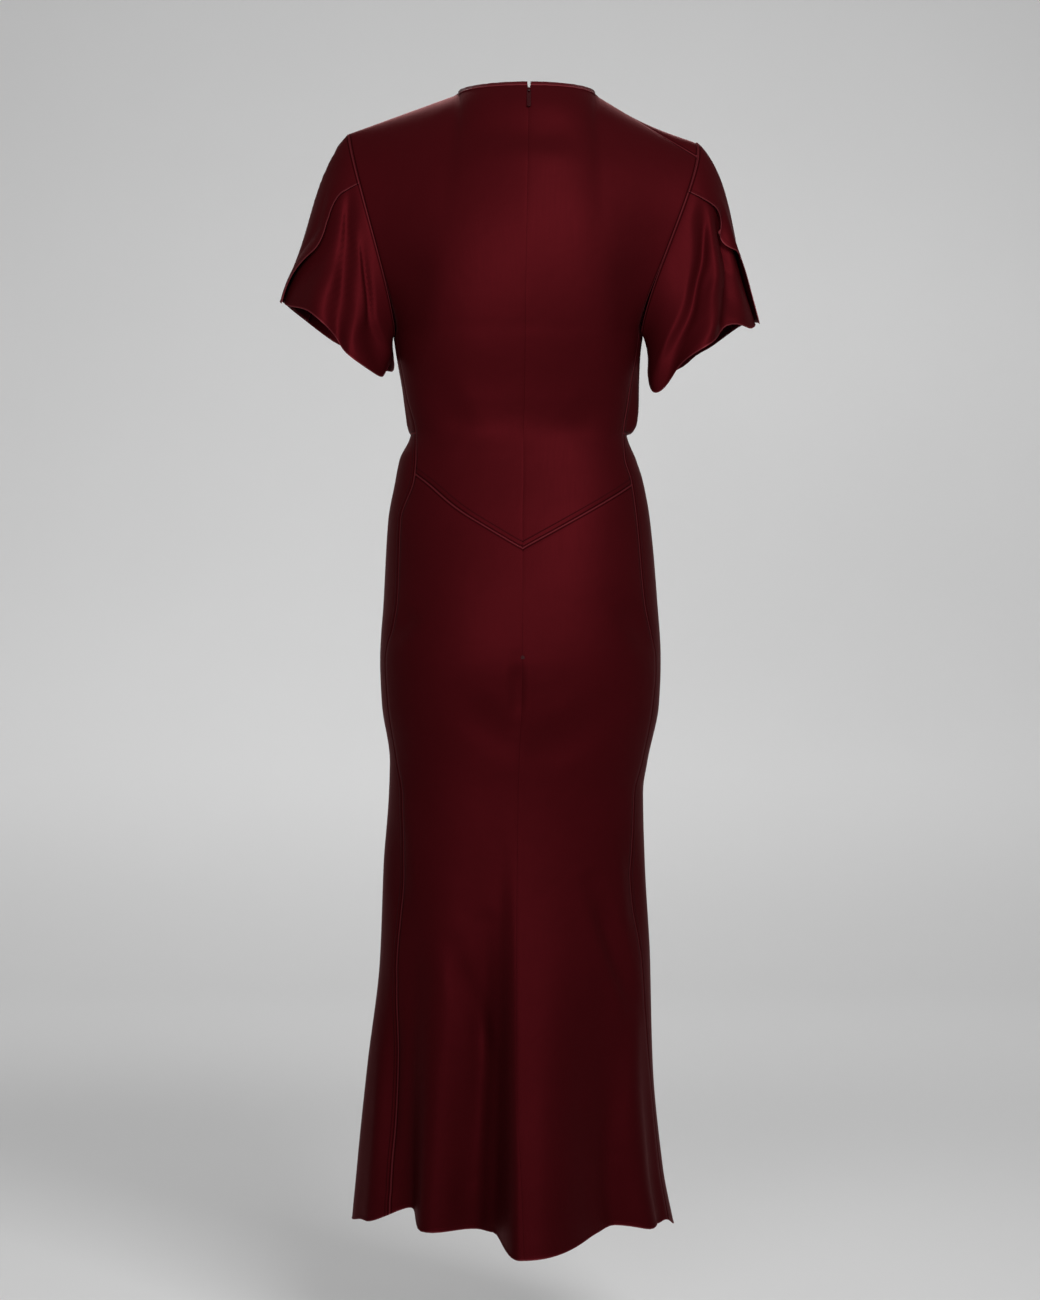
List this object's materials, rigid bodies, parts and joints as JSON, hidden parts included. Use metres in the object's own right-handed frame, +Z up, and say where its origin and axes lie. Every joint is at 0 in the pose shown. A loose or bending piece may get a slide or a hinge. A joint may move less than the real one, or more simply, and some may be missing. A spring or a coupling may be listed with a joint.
{
  "type": "short-sleeved maxi dress",
  "caption": "Floor-length fitted dress in dark satin, with petal sleeves, a pointed back waist seam, a concealed back zip and a flared hem, hollow as worn.",
  "frame": {"origin": "midway between the two neck points of the shoulder seams, at the height where the wearer's shoulders carry the dress", "axes": "+Z up along the length, +X towards the wearer's right side, +Y towards the wearer's front, so the back with the zip faces -Y"},
  "size_m": [0.5404, 0.3552, 1.2841],
  "materials": {
    "satin": "satin-back crepe, dark burgundy, soft sheen",
    "binding": "bias-cut satin binding, dark burgundy",
    "zip_tape": "woven tape, dark burgundy, matt",
    "zip_metal": "lacquered dark burgundy, semi-gloss"
  },
  "bodies": {
    "dress": {"bodice_back_left": "satin", "bodice_back_right": "satin", "bodice_front": "satin", "skirt_back_left": "satin", "skirt_back_right": "satin", "skirt_side_left": "satin", "skirt_side_right": "satin", "skirt_front": "satin", "sleeve_back_petal_left": "satin", "sleeve_front_petal_left": "satin", "sleeve_back_petal_right": "satin", "sleeve_front_petal_right": "satin", "neck_binding": "binding", "zip_tape_left": "zip_tape", "zip_tape_right": "zip_tape", "zip_slider": "zip_metal"},
    "pull_tab": {"zip_pull_tab": "zip_metal"}
  },
  "joints": [
    {"name": "pull_tab_swing", "type": "hinge", "parent": "dress", "child": "pull_tab", "pos_m": [0.00995, -0.05926, -0.00835], "axis": [-1, 0.0023, 0.0033], "range_deg": [0, 150]}
  ]
}
